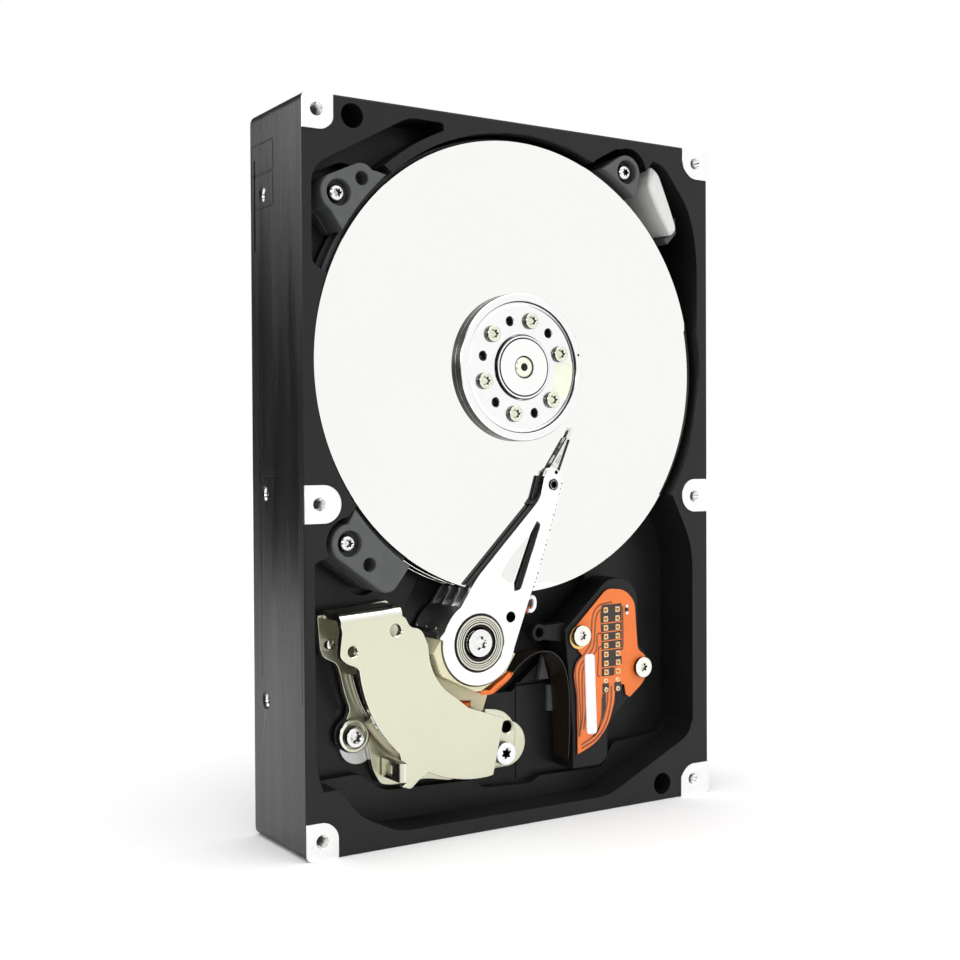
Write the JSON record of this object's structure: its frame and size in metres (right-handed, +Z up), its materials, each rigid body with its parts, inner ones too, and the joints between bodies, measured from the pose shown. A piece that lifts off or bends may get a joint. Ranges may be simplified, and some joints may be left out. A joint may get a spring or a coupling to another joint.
{
  "type": "hard disk drive",
  "caption": "Open desktop hard disk drive: black cast base, mirror disks on a spindle motor, swinging head arm with voice-coil motor, flex circuit and circuit board.",
  "frame": {"origin": "middle of the connector end, the face that the drive stands on, at the middle of its width and of its thickness", "axes": "+X across the width, +Z up along the length from the connector end, +Y from the open face towards the circuit board; the picture looks along +Y"},
  "size_m": [0.1016, 0.025, 0.147],
  "materials": {
    "cast_paint": "satin black paint on cast aluminium",
    "bare_aluminium": "machined",
    "moulded_plastic": "fine matt moulding",
    "cream_plastic": "satin",
    "nickel_plate": "warm satin nickel plate",
    "steel": "bright",
    "platter_mirror": "mirror",
    "copper": "enamelled winding",
    "gold": "plated",
    "magnet_nickel": "plated",
    "orange_flex": "polyimide film",
    "brown_flex": "polyimide film",
    "white_fabric": "filter felt",
    "white_label": "smooth",
    "board_green": "solder mask",
    "chip_black": "moulded epoxy",
    "rubber": "matt"
  },
  "bodies": {
    "base": {"base_casting": "cast_paint", "separator_upper": "moulded_plastic", "separator_lower": "moulded_plastic", "flex_bracket": "moulded_plastic", "separator_screw_1": "steel", "separator_screw_2": "steel", "separator_screw_3": "steel", "pivot_shaft": "steel", "pivot_screw": "steel", "yoke_screw_1": "steel", "yoke_screw_2": "steel", "flex_screw_1": "steel", "flex_screw_2": "steel", "board_screw_1": "steel", "board_screw_2": "steel", "board_screw_3": "steel", "board_screw_4": "steel", "recirculation_filter": "white_fabric", "motor_base": "bare_aluminium", "magnet_top": "magnet_nickel", "magnet_bottom": "magnet_nickel", "motor_stator": "copper", "flex_circuit": "orange_flex", "yoke_top": "nickel_plate", "yoke_bottom": "nickel_plate", "crash_stop_1": "rubber", "crash_stop_2": "rubber", "pin_header": "gold", "flex_stiffener": "white_label", "flex_ribbon": "brown_flex", "circuit_board": "board_green", "controller_chip": "chip_black", "memory_chip": "chip_black", "motor_driver_chip": "chip_black", "sata_connector": "chip_black"},
    "spindle": {"spindle_hub": "bare_aluminium", "spindle_shaft": "steel", "platter_1": "platter_mirror", "platter_2": "platter_mirror", "platter_3": "platter_mirror", "spacer_ring_1": "bare_aluminium", "spacer_ring_2": "bare_aluminium", "disk_clamp": "bare_aluminium", "rotor_magnet": "magnet_nickel", "clamp_screw_1": "steel", "clamp_screw_2": "steel", "clamp_screw_3": "steel", "clamp_screw_4": "steel", "clamp_screw_5": "steel", "clamp_screw_6": "steel"},
    "actuator": {"head_arm_block": "bare_aluminium", "pivot_bearing": "steel", "coil_frame": "cream_plastic", "voice_coil": "copper", "arm_flex": "orange_flex", "head_suspension_1": "steel", "head_suspension_2": "steel", "head_suspension_3": "steel", "head_suspension_4": "steel"}
  },
  "joints": [
    {"name": "spindle_spin", "type": "hinge", "parent": "base", "child": "spindle", "pos_m": [0, 0, 0.0961], "axis": [0, 1, 0], "continuous": true},
    {"name": "actuator_swing", "type": "hinge", "parent": "base", "child": "actuator", "pos_m": [-0.011, 0, 0.039], "axis": [0, 1, 0], "range_deg": [0, 31]}
  ]
}
